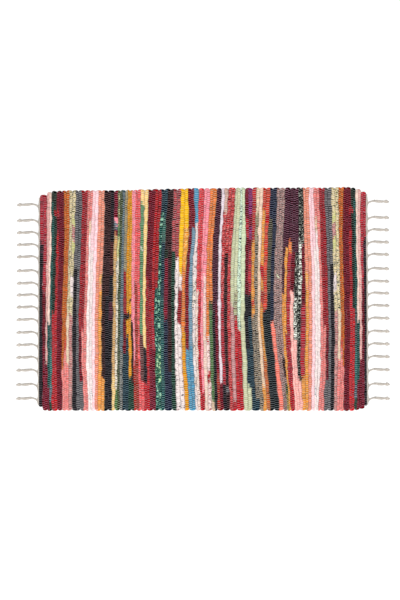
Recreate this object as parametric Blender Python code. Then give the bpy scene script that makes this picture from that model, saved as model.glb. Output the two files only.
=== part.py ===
"""Woven rag rug with a knotted cotton fringe at both short ends.

The rug lies flat. X runs along its length, so the rag wefts, which run from
selvedge to selvedge, lie along Y and are stacked along X. Z points up, and the
origin is on the floor under the middle of the rug. Sizes are in metres.

The pieces are the woven cloth, and at each short end the narrow heading that
the warps are knotted in, fused with its row of twisted strands.
"""
import math

import bmesh
import bpy
import numpy as np

# Driving sizes of the rug
RUG_LENGTH = 0.900
CLOTH_THICKNESS = 0.0066
PIECE_GAP = 0.0004

# Ribs: each weft is one rag strip, packed hard against the next
WEFTS = 112
RIB_DEPTH = 0.0024
RAG_UNEVENNESS = 0.0007
RAG_BEAT = 2.4
SELVEDGE_HEIGHT = 0.0036
END_HEIGHT = 0.0040
SELVEDGE_ROLL = 0.006
ROWS_ACROSS = 10
TURN_NOTCH = 0.003

# Selvedges: where they run across the rug, by place along it
FAR_SELVEDGE = (
    # along, across
    (-0.26, 0.2953),
    (-0.12, 0.2988),
    (-0.03, 0.3014),
    (0.10, 0.3030),
    (0.36, 0.3035),
    (0.38, 0.3048),
)
NEAR_SELVEDGE = -0.3048

# Worn corners: how far along the rug each reaches, and how much it takes off
CORNERS = {
    # corner: run along, drop across
    "far_left": (0.057, 0.0176),
    "far_right": (0.057, 0.0170),
    "near_left": (0.022, 0.0120),
    "near_right": (0.040, 0.0130),
}

# Both ends lean: the far corners lie nearer to the middle than the near ones
END_LEAN = 0.0015
HALF_WIDTH = 0.300

# The wefts bow between the selvedges, by place along the rug and across it
BOW_ALONG = (
    # along, most that a weft is pulled aside
    (-0.446, 0.000),
    (-0.390, -0.005),
    (-0.340, -0.009),
    (-0.150, -0.010),
    (-0.020, -0.016),
    (0.080, -0.014),
    (0.180, -0.010),
    (0.225, -0.009),
    (0.275, 0.008),
    (0.330, 0.011),
    (0.380, 0.008),
    (0.446, 0.000),
)
BOW_ACROSS = (
    # across, share of the bow
    (-0.300, 0.20),
    (-0.220, 0.60),
    (-0.150, 0.90),
    (-0.030, 1.00),
    (0.080, 0.85),
    (0.190, 0.40),
    (0.300, 0.00),
)

# Heading: the narrow cotton edge that carries the fringe
HEADING_WIDTH = 0.0042
HEADING_HEIGHT = 0.0042
HEADING_SETBACK = 0.003

# Fringe: steps from the far selvedge over the strands to the near selvedge
STRAND_STEPS = (
    0.044, 0.043, 0.033, 0.033, 0.033, 0.038, 0.034, 0.032, 0.033,
    0.034, 0.035, 0.034, 0.034, 0.035, 0.039, 0.038, 0.028,
)
ROOT_HALF_WIDTH = 0.0050
STRAND_SIDES = 4
TWIST_STEP = math.radians(45.0)

# One strand: a slim twisted root, a small knot, a full middle, a neck, the
# end knot and its short tail
STRAND_PROFILE = (
    # out from the heading, sideways rise, width, height
    (0.0034, 0.0024, 0.0050, 0.0040),
    (0.0070, 0.0044, 0.0038, 0.0036),
    (0.0110, 0.0059, 0.0036, 0.0036),
    (0.0145, 0.0066, 0.0042, 0.0040),
    (0.0175, 0.0068, 0.0060, 0.0050),
    (0.0205, 0.0066, 0.0046, 0.0042),
    (0.0250, 0.0058, 0.0054, 0.0046),
    (0.0300, 0.0053, 0.0058, 0.0048),
    (0.0350, 0.0050, 0.0056, 0.0046),
    (0.0400, 0.0050, 0.0048, 0.0042),
    (0.0435, 0.0051, 0.0040, 0.0038),
    (0.0465, 0.0051, 0.0072, 0.0054),
    (0.0500, 0.0050, 0.0084, 0.0060),
    (0.0530, 0.0047, 0.0066, 0.0050),
    (0.0555, 0.0044, 0.0038, 0.0034),
    (0.0580, 0.0041, 0.0026, 0.0024),
)

# Colours and surfaces
CLOTH_COLOUR = (0.42, 0.10, 0.09, 1.0)
COTTON_COLOUR = (0.80, 0.74, 0.66, 1.0)
CLOTH_ROUGHNESS = 0.9


def clear_scene():
    """Remove every object that the file opened with."""
    for obj in list(bpy.data.objects):
        bpy.data.objects.remove(obj, do_unlink=True)


def matte(name, colour):
    """A rough, non-metallic material of one colour."""
    material = bpy.data.materials.new(name)
    material.use_nodes = True
    shader = material.node_tree.nodes["Principled BSDF"]
    shader.inputs["Base Color"].default_value = colour
    shader.inputs["Roughness"].default_value = CLOTH_ROUGHNESS
    shader.inputs["Metallic"].default_value = 0.0
    return material


def read_table(rows, at):
    """Straight-line reading of a two-column table."""
    places, values = zip(*rows)
    return np.interp(at, places, values)


def corner_drop(corner, distance):
    """A corner's cut falls off as the square of the way to its end."""
    run, drop = CORNERS[corner]
    share = np.clip(1.0 - distance / run, 0.0, 1.0)
    return drop * share ** 2


def far_edge(x):
    """The far selvedge with its two worn corners."""
    left = corner_drop("far_left", x + cloth_half_length())
    right = corner_drop("far_right", cloth_half_length() - x)
    return read_table(FAR_SELVEDGE, x) - left - right


def near_edge(x):
    """The near selvedge with its two worn corners."""
    left = corner_drop("near_left", x + cloth_half_length())
    right = corner_drop("near_right", cloth_half_length() - x)
    return NEAR_SELVEDGE + left + right


def cloth_half_length():
    """Half the woven cloth, inside the two headings."""
    return RUG_LENGTH / 2 - HEADING_WIDTH - PIECE_GAP


def end_line(side, y):
    """The cloth's end at one side, which leans with y."""
    return side * (cloth_half_length() - END_LEAN * y / HALF_WIDTH)


def weft_place(share, y):
    """X of a line along the wefts: evenly between the two ends, plus the bow."""
    left = end_line(-1, y)
    straight = left + (end_line(1, y) - left) * share
    return straight + read_table(BOW_ALONG, straight) * read_table(BOW_ACROSS, y)


def turn_place(line, far):
    """X where the two wefts of a turn both end: the middle of the line's pair."""
    middle = 4 * (line // 4) + 2 if far else 4 * ((line + 2) // 4)
    share = min(middle / (2 * WEFTS), 1.0)
    return float(weft_place(share, 0.0))


def rows_between(near, far):
    """Places across the rug: both selvedges, their rolls and even rows between."""
    inner = np.linspace(near + SELVEDGE_ROLL, far - SELVEDGE_ROLL, ROWS_ACROSS)
    return np.concatenate(([near], inner, [far]))


def cloth_grid():
    """Top points of the cloth, as an array of lines along the wefts by rows.

    Line 2k is the valley before weft k and line 2k + 1 its crown. A turn joins
    the wefts in pairs that end together, so each second valley is notched at a
    selvedge, and the notches of the two selvedges alternate. Some rags are
    thicker than others: a crown's height swings with a sine that doesn't fall
    in step with the wefts.
    """
    lines = 2 * WEFTS + 1
    points = np.zeros((lines, ROWS_ACROSS + 2, 3))
    for line in range(lines):
        share = line / (lines - 1)
        near_notch = TURN_NOTCH if line % 4 == 2 else 0.0
        far_notch = TURN_NOTCH if line % 4 == 0 else 0.0
        near = float(near_edge(turn_place(line, False))) + near_notch
        far = float(far_edge(turn_place(line, True))) - far_notch
        across = rows_between(near, far)
        weft = line // 2
        rag = RAG_UNEVENNESS * (0.5 + 0.5 * math.sin(RAG_BEAT * weft))
        height = CLOTH_THICKNESS - (rag if line % 2 else RIB_DEPTH)
        points[line, :, 0] = weft_place(share, across)
        points[line, :, 1] = across
        points[line, :, 2] = height
        points[line, 0, 2] = points[line, -1, 2] = SELVEDGE_HEIGHT
    points[0, :, 2] = points[-1, :, 2] = np.minimum(points[0, :, 2], END_HEIGHT)
    return points


def cloth_mesh():
    """Closed mesh: the ribbed top, a flat underside and an upright rim."""
    top = cloth_grid()
    lines, rows = top.shape[:2]
    index = np.arange(lines * rows).reshape(lines, rows)
    rim = np.concatenate((index[:, 0], index[-1, 1:], index[-2::-1, -1], index[0, -2:0:-1]))
    floor = top.reshape(-1, 3)[rim] * (1.0, 1.0, 0.0)
    under = np.full(lines * rows, -1)
    under[rim] = lines * rows + np.arange(len(rim))

    faces = []
    for line in range(lines - 1):
        for row in range(rows - 1):
            corners = (index[line, row], index[line + 1, row])
            faces.append(corners + (index[line + 1, row + 1], index[line, row + 1]))
    for here, there in zip(rim, np.roll(rim, -1)):
        faces.append((there, here, under[here], under[there]))
    for line in range(1, lines - 2):
        near = (index[line + 1, 0], index[line, 0])
        faces.append(tuple(under[list(near + (index[line, -1], index[line + 1, -1]))]))
    left = np.concatenate(([index[1, 0]], index[0, :], [index[1, -1]]))
    right = np.concatenate(([index[-2, -1]], index[-1, ::-1], [index[-2, 0]]))
    faces.append(tuple(under[left]))
    faces.append(tuple(under[right]))
    points = np.concatenate((top.reshape(-1, 3), floor))
    return points, [tuple(int(i) for i in face) for face in faces]


def strand_roots(side):
    """Places of the strands across the rug, from the far one to the near one.

    The steps are stretched to the width between the selvedges at that end.
    """
    far = float(read_table(FAR_SELVEDGE, side * cloth_half_length()))
    passed = np.cumsum(STRAND_STEPS)
    return far - (far - NEAR_SELVEDGE) * passed[:-1] / passed[-1]


def strand_ring(side, root_x, root_y, step):
    """Four corners of one section of a strand, resting on the floor.

    The section is an oval's four corners, which turn by a fixed angle from
    step to step, and is lifted by its own lowest corner.
    """
    out, rise, width, height = STRAND_PROFILE[step]
    quarter = 2 * math.pi / STRAND_SIDES
    first = math.pi + quarter / 2
    angles = first + TWIST_STEP * (step + 1) + np.arange(STRAND_SIDES) * quarter
    across = root_y + rise + width / 2 * np.cos(angles)
    up = height / 2 * np.sin(angles)
    x = np.full(STRAND_SIDES, root_x + side * out)
    return np.column_stack((x, across, up - up.min()))


def fringe_mesh(side):
    """Heading and its strands as one closed mesh.

    The heading is a bar of square section with a station at both sides of each
    root. There its outer wall is left open, and the strand's rings grow from
    the opening's four corners.
    """
    inner_face = side * (cloth_half_length() + PIECE_GAP)
    far = float(far_edge(side * cloth_half_length()))
    near = float(near_edge(side * cloth_half_length()))
    roots = strand_roots(side)
    stations = np.concatenate((
        [near + HEADING_SETBACK],
        np.sort(np.concatenate((roots - ROOT_HALF_WIDTH, roots + ROOT_HALF_WIDTH))),
        [far - HEADING_SETBACK],
    ))

    points = []
    for y in stations:
        lean = float(end_line(side, y)) - side * cloth_half_length()
        inner = inner_face + lean
        outer = inner + side * HEADING_WIDTH
        points += [(inner, y, 0.0), (outer, y, 0.0)]
        points += [(outer, y, HEADING_HEIGHT), (inner, y, HEADING_HEIGHT)]

    faces = [(3, 2, 1, 0)]
    for station in range(len(stations) - 1):
        here, there = 4 * station, 4 * station + 4
        for edge in range(4):
            after = (edge + 1) % 4
            opening = edge == 1 and station % 2 == 1
            if not opening:
                faces.append((here + edge, there + edge, there + after, here + after))
    last = 4 * len(stations) - 4
    faces.append((last, last + 1, last + 2, last + 3))

    for station in range(1, len(stations) - 1, 2):
        here, there = 4 * station, 4 * station + 4
        ring = [here + 1, there + 1, there + 2, here + 2]
        root_x = points[here + 1][0]
        root_y = (stations[station] + stations[station + 1]) / 2
        for step in range(len(STRAND_PROFILE)):
            start = len(points)
            points += [tuple(p) for p in strand_ring(side, root_x, root_y, step)]
            fresh = list(range(start, start + STRAND_SIDES))
            for edge in range(STRAND_SIDES):
                after = (edge + 1) % STRAND_SIDES
                faces.append((ring[edge], ring[after], fresh[after], fresh[edge]))
            ring = fresh
        faces.append(tuple(ring))
    return np.array(points), faces


def make_piece(name, points, faces, colour):
    """One named object from points and faces, its faces pointing out."""
    mesh = bpy.data.meshes.new(name)
    mesh.from_pydata(points.tolist(), [], faces)
    shape = bmesh.new()
    shape.from_mesh(mesh)
    bmesh.ops.triangulate(shape, faces=shape.faces)
    bmesh.ops.recalc_face_normals(shape, faces=shape.faces)
    shape.to_mesh(mesh)
    shape.free()
    mesh.materials.append(matte(name + "_finish", colour))
    piece = bpy.data.objects.new(name, mesh)
    bpy.context.scene.collection.objects.link(piece)
    return piece


def main():
    """Build the rug's three pieces."""
    clear_scene()
    make_piece("woven_cloth", *cloth_mesh(), CLOTH_COLOUR)
    make_piece("fringe_left", *fringe_mesh(-1), COTTON_COLOUR)
    make_piece("fringe_right", *fringe_mesh(1), COTTON_COLOUR)


main()
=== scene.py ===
"""Woven rag rug: its rags, warps, headings and knotted fringe, and the stage it lies on.

Sizes are in metres. X runs along the rug, Y across it from the near selvedge to
the far one, and Z up from the floor.
"""
import math

import bpy
import numpy as np
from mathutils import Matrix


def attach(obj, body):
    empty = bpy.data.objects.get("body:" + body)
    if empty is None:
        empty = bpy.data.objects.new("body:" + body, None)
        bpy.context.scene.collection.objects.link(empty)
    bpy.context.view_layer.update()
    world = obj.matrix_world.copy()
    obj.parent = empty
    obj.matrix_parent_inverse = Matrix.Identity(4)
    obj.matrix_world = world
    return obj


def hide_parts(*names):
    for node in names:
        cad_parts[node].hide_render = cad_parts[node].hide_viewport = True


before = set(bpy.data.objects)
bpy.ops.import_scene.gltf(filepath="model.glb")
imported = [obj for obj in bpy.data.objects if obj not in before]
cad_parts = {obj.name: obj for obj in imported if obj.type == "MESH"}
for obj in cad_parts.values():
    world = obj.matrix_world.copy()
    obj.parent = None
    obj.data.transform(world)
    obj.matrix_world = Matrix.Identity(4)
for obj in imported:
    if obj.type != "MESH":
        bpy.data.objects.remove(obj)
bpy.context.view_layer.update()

bl_info = {
    "name": "Woven rag rug",
    "version": (1, 0, 0),
    "blender": (4, 5, 0),
    "location": "3D View > Sidebar > Rag rug",
    "description": "Weaves a rag rug with a knotted fringe",
    "category": "Add Mesh",
}

BODY = "root"
MM = 0.001

# Sizes that the rug shares with its solids
CLOTH_HALF_LENGTH = 0.4454
END_LEAN = 0.0015
HALF_WIDTH = 0.300
PIECE_GAP = 0.0004
HEADING_WIDTH = 0.0042
NEAR_SELVEDGE = -0.3048
FAR_SELVEDGE = (
    # along, across
    (-0.26, 0.2953),
    (-0.12, 0.2988),
    (-0.03, 0.3014),
    (0.10, 0.3030),
    (0.36, 0.3035),
    (0.38, 0.3048),
)
CORNERS = {
    # corner: run along, drop across
    "far_left": (0.057, 0.0176),
    "far_right": (0.057, 0.0170),
    "near_left": (0.022, 0.0120),
    "near_right": (0.040, 0.0130),
}

# Weaving
WEFTS = 112
WARPS = 214
BANDS = 8
BAND_WEFTS = WEFTS // BANDS
CHART_EDGE = 0.3048

# How far the lines between the rags lie from the left end, in mm, read at six
# places across the rug. The lines between these rows are evenly spaced.
READ_ACROSS = (0.281, 0.185, 0.076, -0.060, -0.183, -0.292)
READ_FROM = -0.4472
READ_SMOOTHING = 33
WEFT_LINES = (
    # line, then far selvedge to near selvedge
    (0, 3, 3, 2, 1, 0, 0),
    (1, 12, 14, 11, 10, 11, 11),
    (2, 22, 23, 20, 18, 18, 17),
    (3, 28, 29, 26, 23, 24, 23),
    (5, 41, 42, 38, 35, 35, 35),
    (8, 63, 63, 60, 57, 56, 58),
    (10, 75, 76, 74, 69, 67, 71),
    (12, 91, 90, 86, 81, 82, 80),
    (14, 109, 108, 103, 101, 101, 102),
    (16, 126, 124, 120, 116, 117, 123),
    (18, 140, 136, 134, 129, 129, 135),
    (19, 146, 142, 140, 137, 137, 140),
    (22, 171, 169, 164, 161, 162, 160),
    (24, 188, 187, 182, 179, 180, 178),
    (26, 206, 205, 203, 201, 199, 199),
    (27, 217, 215, 211, 210, 207, 207),
    (29, 228, 226, 223, 221, 220, 220),
    (31, 242, 240, 238, 239, 237, 235),
    (33, 255, 254, 253, 251, 253, 252),
    (35, 264, 262, 261, 261, 263, 267),
    (37, 277, 276, 275, 275, 277, 280),
    (39, 299, 295, 292, 290, 294, 295),
    (42, 327, 319, 316, 314, 318, 319),
    (45, 352, 344, 342, 340, 341, 343),
    (47, 367, 362, 361, 362, 362, 363),
    (49, 387, 382, 381, 377, 380, 387),
    (51, 407, 409, 400, 398, 401, 410),
    (53, 423, 427, 418, 418, 421, 428),
    (54, 436, 433, 430, 426, 428, 434),
    (57, 458, 452, 448, 447, 449, 453),
    (60, 484, 476, 472, 473, 476, 480),
    (63, 506, 499, 496, 495, 499, 503),
    (66, 535, 528, 522, 523, 525, 530),
    (69, 555, 553, 550, 550, 555, 559),
    (70, 561, 565, 562, 561, 568, 570),
    (73, 593, 589, 587, 589, 596, 603),
    (76, 620, 614, 613, 610, 621, 631),
    (79, 649, 647, 641, 641, 655, 667),
    (82, 671, 665, 662, 662, 671, 682),
    (84, 686, 682, 676, 674, 684, 691),
    (86, 700, 700, 697, 693, 695, 704),
    (88, 714, 715, 717, 714, 712, 719),
    (89, 721, 722, 726, 728, 725, 728),
    (92, 742, 746, 752, 753, 753, 750),
    (95, 763, 767, 771, 775, 775, 768),
    (98, 787, 791, 794, 797, 797, 796),
    (101, 816, 818, 820, 824, 823, 820),
    (103, 830, 826, 829, 832, 832, 830),
    (106, 849, 853, 854, 855, 854, 853),
    (109, 870, 869, 873, 874, 874, 873),
    (112, 891, 891, 892, 893, 893, 894),
)

# Cloths that the rags were torn from: a colour, and for a print or a heather
# the colour of its flecks and their reach, as a share of the space between them.
# A coarse print, with flecks twice as far apart, has a half added to its reach.
CLOTHS = {
    "amber": ((0.90, 0.64, 0.30),),
    "amber_print": ((0.92, 0.64, 0.22), (0.93, 0.84, 0.62), 0.26),
    "apricot": ((0.92, 0.69, 0.42),),
    "beige": ((0.88, 0.80, 0.70),),
    "beige_print": ((0.92, 0.84, 0.80), (0.66, 0.50, 0.46), 0.24),
    "blush": ((0.90, 0.80, 0.75),),
    "blush_print": ((0.94, 0.82, 0.80), (0.80, 0.55, 0.60), 0.24),
    "bottle": ((0.08, 0.15, 0.11),),
    "brick": ((0.69, 0.11, 0.15),),
    "bright_teal": ((0.22, 0.50, 0.48),),
    "brown_heather": ((0.66, 0.60, 0.52), (0.14, 0.11, 0.10), 0.34),
    "brown_sprig": ((0.91, 0.86, 0.82), (0.26, 0.18, 0.14), 0.32),
    "burnt": ((0.84, 0.45, 0.14),),
    "coral": ((0.92, 0.57, 0.55),),
    "coral_red": ((0.80, 0.26, 0.26),),
    "cream": ((0.86, 0.76, 0.66),),
    "cream_sprig": ((0.87, 0.81, 0.66), (0.44, 0.46, 0.26), 0.28),
    "crimson": ((0.80, 0.14, 0.18),),
    "dark_red": ((0.57, 0.05, 0.11),),
    "dusty": ((0.83, 0.63, 0.61), (0.72, 0.38, 0.38), 0.28),
    "forest": ((0.07, 0.25, 0.18),),
    "golden": ((0.96, 0.77, 0.09),),
    "green_print": ((0.12, 0.44, 0.30), (0.78, 0.88, 0.72), 0.80),
    "grey": ((0.45, 0.44, 0.46),),
    "grey_tick": ((0.88, 0.86, 0.86), (0.45, 0.44, 0.46), 0.26),
    "heather": ((0.74, 0.60, 0.58), (0.42, 0.30, 0.28), 0.34),
    "ivory": ((0.93, 0.88, 0.87),),
    "jet": ((0.06, 0.05, 0.08),),
    "khaki": ((0.67, 0.62, 0.49),),
    "leaf": ((0.38, 0.54, 0.32),),
    "lemon": ((0.92, 0.80, 0.56),),
    "lime": ((0.80, 0.79, 0.56),),
    "maroon": ((0.50, 0.02, 0.08),),
    "maroon_brown": ((0.26, 0.05, 0.06),),
    "mauve": ((0.84, 0.64, 0.64),),
    "mauve_brown": ((0.46, 0.26, 0.26),),
    "mint": ((0.84, 0.88, 0.75),),
    "mint_sprig": ((0.83, 0.90, 0.82), (0.12, 0.34, 0.32), 0.26),
    "mint_tick": ((0.08, 0.08, 0.07), (0.96, 0.97, 0.93), 0.44),
    "mustard": ((0.88, 0.63, 0.12),),
    "navy": ((0.09, 0.13, 0.25),),
    "olive": ((0.30, 0.36, 0.22),),
    "olive_brown": ((0.36, 0.34, 0.26),),
    "olive_fleck": ((0.42, 0.48, 0.30), (0.86, 0.82, 0.66), 0.24),
    "olive_gold": ((0.66, 0.58, 0.30),),
    "orange": ((0.93, 0.57, 0.30),),
    "pale_green": ((0.80, 0.81, 0.68),),
    "pale_pink": ((0.97, 0.83, 0.85),),
    "peach": ((0.95, 0.73, 0.70),),
    "peach_beige": ((0.92, 0.82, 0.74),),
    "peach_coral": ((0.93, 0.63, 0.53),),
    "petrol": ((0.09, 0.22, 0.29),),
    "pink": ((0.97, 0.62, 0.67),),
    "plum": ((0.32, 0.09, 0.18),),
    "poppy": ((0.90, 0.31, 0.34),),
    "purple": ((0.62, 0.18, 0.50),),
    "raspberry": ((0.76, 0.19, 0.25),),
    "red_fleck": ((0.78, 0.20, 0.22), (0.96, 0.62, 0.60), 0.24),
    "rose": ((0.77, 0.19, 0.26),),
    "rose_print": ((0.80, 0.36, 0.38), (0.22, 0.12, 0.12), 0.28),
    "rust": ((0.73, 0.25, 0.20),),
    "rust_amber": ((0.80, 0.46, 0.24),),
    "sage": ((0.42, 0.62, 0.45),),
    "salmon": ((0.89, 0.70, 0.68),),
    "salmon_coral": ((0.95, 0.55, 0.48),),
    "scarlet": ((0.76, 0.10, 0.13),),
    "sea_green": ((0.28, 0.50, 0.45),),
    "sky": ((0.38, 0.65, 0.77),),
    "slate": ((0.43, 0.51, 0.55),),
    "slate_beige": ((0.56, 0.56, 0.54), (0.26, 0.34, 0.36), 0.30),
    "slate_black": ((0.08, 0.12, 0.14),),
    "slate_teal": ((0.30, 0.38, 0.38),),
    "steel": ((0.52, 0.66, 0.74),),
    "straw": ((0.82, 0.67, 0.45),),
    "taupe": ((0.82, 0.70, 0.65),),
    "teal": ((0.08, 0.34, 0.31),),
    "teal_dark": ((0.16, 0.40, 0.40),),
    "teal_print": ((0.05, 0.33, 0.29), (0.70, 0.84, 0.74), 0.76),
    "tick_green": ((0.06, 0.07, 0.06), (0.94, 0.95, 0.90), 0.17),
    "tomato": ((0.86, 0.33, 0.24),),
    "umber": ((0.17, 0.05, 0.06),),
    "watermelon": ((0.93, 0.42, 0.43),),
    "white": ((0.93, 0.88, 0.91),),
    "white_print": ((0.90, 0.85, 0.84), (0.60, 0.52, 0.53), 0.67),
    "white_red": ((0.92, 0.84, 0.82), (0.76, 0.22, 0.26), 0.26),
    "white_tick": ((0.90, 0.87, 0.80), (0.16, 0.13, 0.13), 0.28),
    "wine": ((0.54, 0.05, 0.14),),
    "wine_green": ((0.74, 0.74, 0.60), (0.48, 0.14, 0.20), 0.34),
}

# The weaver's chart: for each weft from the left end its rags from the far
# selvedge to the near one, with how many mm from the far selvedge each is
# spliced to the next. The right end repeats the left end's first rows.
CHART = (
    "rose 152 jet 166 plum 182 jet",
    "rose 283 maroon 433 wine",
    "salmon 479 wine",
    "blush 373 teal 542 wine",
    "bottle 38 teal 346 slate_teal 441 bright_teal 542 slate 583 forest",
    "bottle 62 scarlet 78 bottle 340 crimson",
    "maroon 62 scarlet 78 maroon 122 scarlet 310 crimson",
    "maroon",
    "maroon",
    "burnt 496 coral",
    "burnt 419 tomato 447 coral",
    "cream_sprig 343 beige 480 coral",
    "cream_sprig 79 lime 106 dusty 147 lime 179 cream_sprig 242 white_print 297"
    " cream_sprig 346 dusty",
    "grey 218 jet",
    "grey",
    "brick 398 maroon 531 grey",
    "brick 389 coral",
    "coral",
    "coral 95 cream 128 ivory",
    "pale_pink 174 ivory 553 grey_tick 578 ivory",
    "pale_pink",
    "peach_coral",
    "peach_coral 239 apricot 272 peach_coral 283 amber",
    "umber 520 amber",
    "umber 300 jet",
    "jet 147 maroon_brown 234 jet 310 plum 359 jet",
    "wine 84 pink 100 slate 114 wine 125 straw 515 lemon",
    "olive_fleck 106 leaf 141 lime 193 white_tick 550 leaf",
    "olive",
    "slate 447 slate_beige",
    "khaki 226 brick 343 jet 357 maroon 452 petrol",
    "mustard 343 jet 359 mustard 406 petrol",
    "mustard 305 umber 313 mustard 349 umber 357 mustard 523 forest",
    "pink 365 umber 528 forest",
    "pink 479 rust",
    "watermelon 261 rust",
    "watermelon",
    "lemon 46 sage 167 ivory 171 sage 400 mauve_brown 528 watermelon",
    "lemon 439 jet 534 crimson",
    "maroon 242 brick 433 crimson",
    "maroon 283 brick 441 wine",
    "scarlet 338 rose 441 wine",
    "scarlet 275 teal_print 447 green_print 528 teal_print",
    "petrol 76 teal_print 447 green_print 534 teal_print",
    "petrol 79 sea_green 147 petrol 300 teal_dark",
    "umber 174 bottle 196 wine 365 navy",
    "umber 501 navy",
    "rose_print 174 forest",
    "rose_print 196 white_print",
    "golden 234 white_print 278 brick 373 white_print",
    "golden 103 amber_print 223 orange 387 mustard",
    "dark_red 114 wine 207 dark_red 439 sky",
    "dark_red 109 steel 433 sky",
    "sky 98 white_print 256 brown_sprig 324 white_print 425 brown_sprig 452 white_print"
    " 523 brown_sprig 542 white_print",
    "poppy 283 beige_print",
    "poppy 310 crimson",
    "pink 561 crimson",
    "pink 242 blush_print 350 blush",
    "orange 411 white_red 507 scarlet 528 white_red",
    "orange 310 olive 335 leaf 583 cream",
    "plum 338 jet",
    "plum 319 wine 501 rust",
    "white 534 maroon",
    "taupe 70 red_fleck 310 raspberry 537 jet",
    "red_fleck 182 umber 548 grey 564 umber",
    "red_fleck",
    "pale_green 319 mauve 583 crimson",
    "pale_green 283 wine_green 357 crimson",
    "mint_sprig 392 crimson",
    "mint 310 pale_green",
    "wine 84 rose 139 maroon 291 jet 433 petrol 542 pale_green",
    "purple 79 wine 114 purple 141 wine 174 raspberry 291 jet 354 petrol",
    "coral_red 147 amber 310 tomato 324 amber 351 brown_heather 578 petrol",
    "beige 73 khaki 133 brown_heather",
    "peach_beige 200 cream 542 amber",
    "tomato 62 amber 212 crimson 250 amber 283 rust 319 amber 466 rust_amber",
    "tomato 79 scarlet 98 tomato 338 slate_black",
    "navy 81 olive_brown 283 slate_black",
    "navy 368 salmon_coral",
    "heather",
    "heather 239 mint 246 heather",
    "heather 460 umber 515 heather 534 olive 559 olive_gold",
    "plum 290 amber",
    "plum 165 amber 400 raspberry 528 crimson",
    "plum 147 orange 178 raspberry 528 crimson",
    "plum 174 maroon 286 peach",
    "plum 179 tick_green 300 mint_tick 419 peach",
    "tick_green 139 mint_tick 319 tick_green 523 peach",
    "tick_green 160 maroon 324 raspberry 518 amber",
)
END_SHIFT = 8
SPLICE_SLANT = 0.007
NO_FLECKS = -0.1

# Unevenness: its size, and how many neighbours it is averaged over. Those of a
# rag's width and crest are shares of it, and the others are in metres. The
# warps wander less within FIRM_EDGE, a share of the width, of a selvedge.
UNEVEN = {
    "line_bow": (0.0007, 14),
    "line_step": (0.0003, 4),
    "warp_wander": (0.0008, 10),
    "rag_middle": (0.00018, 4),
    "crown_lift": (0.00010, 1),
    "ragged_end": (0.0025, 3),
    "width": (0.04, 9),
    "slow_width": (0.04, 40),
    "crest": (0.03, 5),
    "slow_crest": (0.04, 30),
}
CREST_LIMIT = 1.04
FIRM_EDGE = 0.05

# A rag's way through the warps, station by station: over a warp, between two,
# under a warp, between two. Heights are shares of half the cloth's thickness,
# half-widths are shares of the rag's width, and the last row is painted shade:
# how much of the rag's colour is kept there, all on the crown and least where
# the rag dips under a warp.
CROWN = np.array((1.00, 0.74, 0.20, 0.74))
BELLY = np.array((-0.62, -0.82, -0.94, -0.82))
SPREAD = np.array((0.54, 0.50, 0.54, 0.50))
PAINTED_LIGHT_SHARE = np.array((1.0, 0.45, 0.0, 0.45))
# Painted shade at a rag's two sides: they keep this share of the light given above.
PAINTED_LIGHT_SIDE = 0.7
CLOTH_MIDDLE = 0.0032
CLOTH_HALF_HEIGHT = 0.0028
RAG_HALF_LIMIT = 0.0068

# A rag's six points round: two sides, two on the crown and two on the belly
SHOULDER = 0.55
ROUND_WIDE = np.array((1.0, SHOULDER, -SHOULDER, -1.0, -SHOULDER, SHOULDER))
ROUND_CROWN = np.array((0, 1, 1, 0, 0, 0))
ROUND_BELLY = np.array((0, 0, 0, 0, 1, 1))

# Warps: how far they rise, as a share of half the cloth's thickness, how far to
# each side of a rag's middle they stay level, as a share of its width, and how
# much of their colour is the lightened dye of the rags they cross: painted light
# from the rags.
WARP_RADIUS = 0.00105
WARP_POINTS = 3
WARP_SWAY = 0.52
WARP_HOLD = 0.30
RAG_LIGHT_SHARE = 0.92

# Turns at the selvedges: over EDGE_STATIONS a rag thins to EDGE_HEIGHT
EDGE_STATIONS = 6
EDGE_HEIGHT = 0.75
TURN_REACH = 0.0018
TURN_START_HEIGHT = 0.72
TURN_HALF_WIDTH = 0.0022
TURN_HALF_HEIGHT = 0.0019
TURN_DROP = 0.0008
TURN_UNEVEN = 0.0009
TURN_ANGLES = np.radians((30.0, 60.0, 90.0))

# UV maps: how much further round each tube starts, and the margins of its strip
FRESH_START = 0.37
STRIP_ENDS = 0.01
STRIP_SIDES = 0.06

# Rag finish
FLECK_TILT = math.radians(35.0)
FLECK_SLIMNESS = 1.8
FLECK_DRIFT = (0.009, 0.009, 0.0)
DRIFT_SCALE = 170.0
FLECK_SMALLEST = 0.4
FLECK_SPREAD = 1.2
FLECK_SHARPNESS = 12.0
COARSE = 0.5
COARSE_SCALE = 0.5
DARK_BELOW = 0.62
GRAINS = {
    # stretch along and across the rag, scale, detail
    "slow": ((1.0, 0.6, 1.0), 90.0, 3.0),
    "crease": ((120.0, 900.0, 1.0), 1.0, 3.0),
    "fibre": ((1800.0, 3600.0, 1.0), 1.0, 2.0),
}

# Cotton finish
YARN_TILT = math.radians(32.0)
YARN_SCALE = (700.0, 3200.0, 1.0)
COTTON_PATCHES = 60.0
# Gamma that lightens the rags' dye on the warps: painted light from the rags.
RAG_LIGHT_GAMMA = 0.40
# The heading and end knots get a paler copy of the cords' cotton: painted light.
LIT_COPY_GAIN = 1.15

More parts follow.
